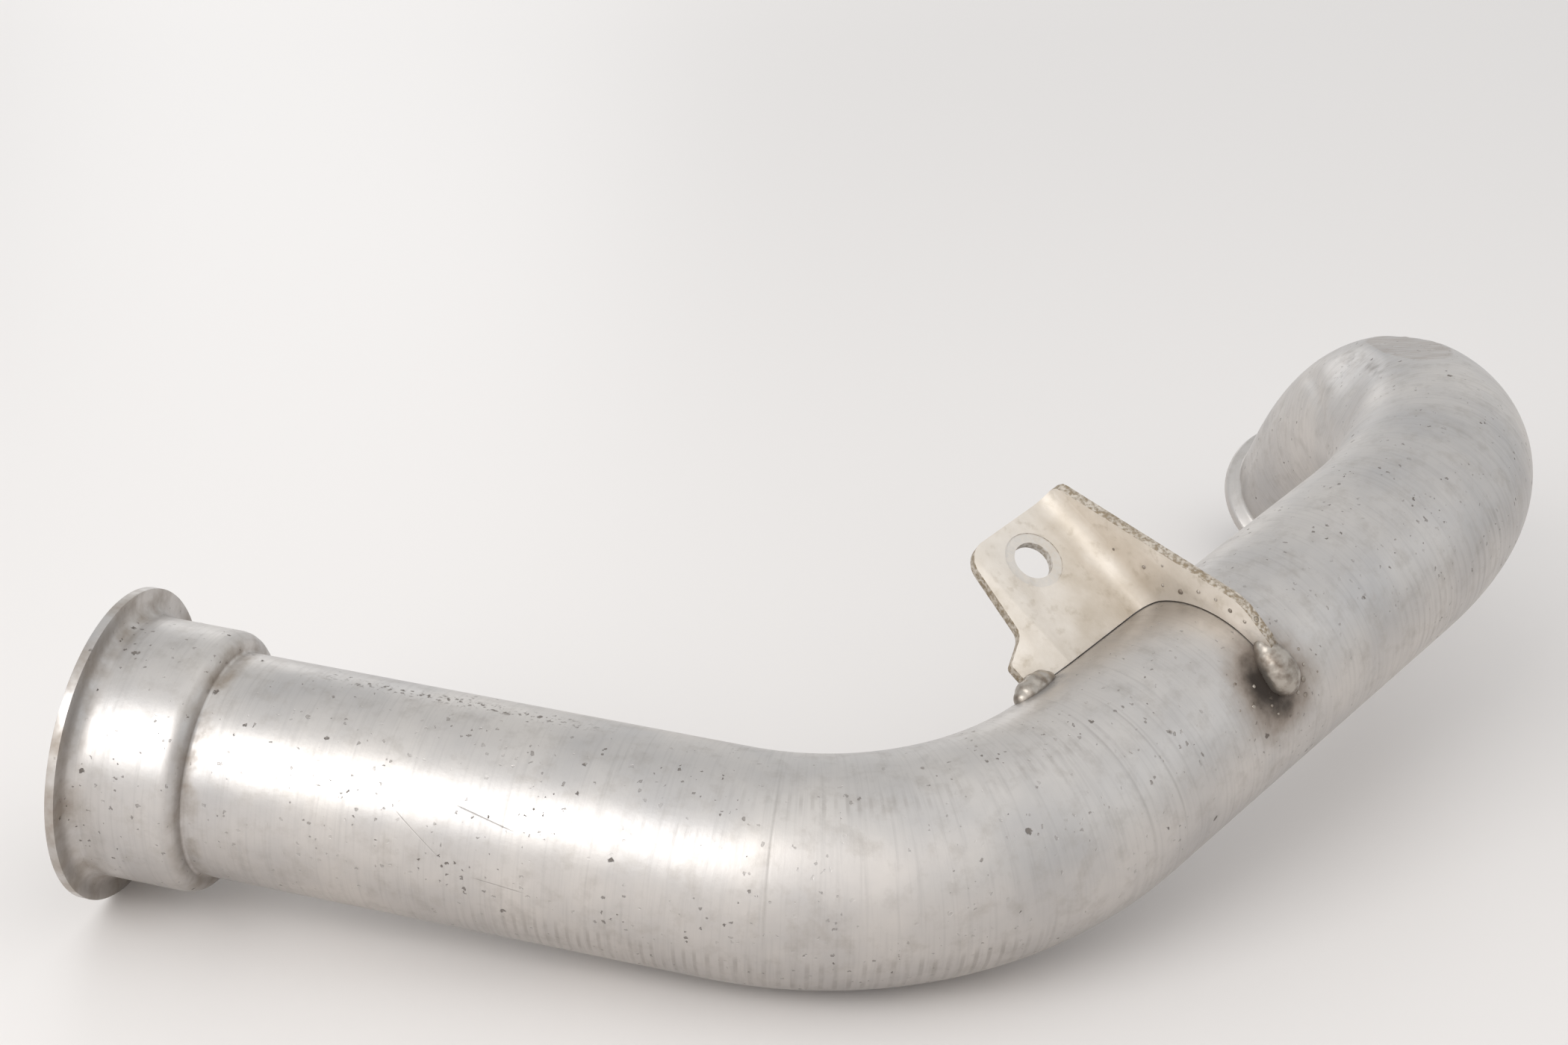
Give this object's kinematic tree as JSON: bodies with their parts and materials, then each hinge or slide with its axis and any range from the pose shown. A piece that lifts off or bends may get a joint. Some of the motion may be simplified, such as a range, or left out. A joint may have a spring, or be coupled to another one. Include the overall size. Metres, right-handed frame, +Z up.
{
  "type": "intake pipe",
  "caption": "Bent aluminium intake pipe with a flared and expanded inlet collar, a beaded hose end and a welded sheet bracket with a bolt hole.",
  "frame": {"origin": "middle of the pipe's footprint on the surface it lies on", "axes": "+X along the first leg from the collar toward the first bend, +Y level and across it toward the beaded end, +Z up"},
  "size_m": [0.3124, 0.3304, 0.0906],
  "materials": {
    "tube_aluminium": "satin, drawn and bent, with fine pits",
    "sheet_aluminium": "dull, lightly stained sheet",
    "weld_metal": "rippled weld with soot around it"
  },
  "bodies": {
    "root": {"pipe": "tube_aluminium", "bracket": "sheet_aluminium", "front_weld": "weld_metal", "rear_weld": "weld_metal"}
  },
  "joints": []
}
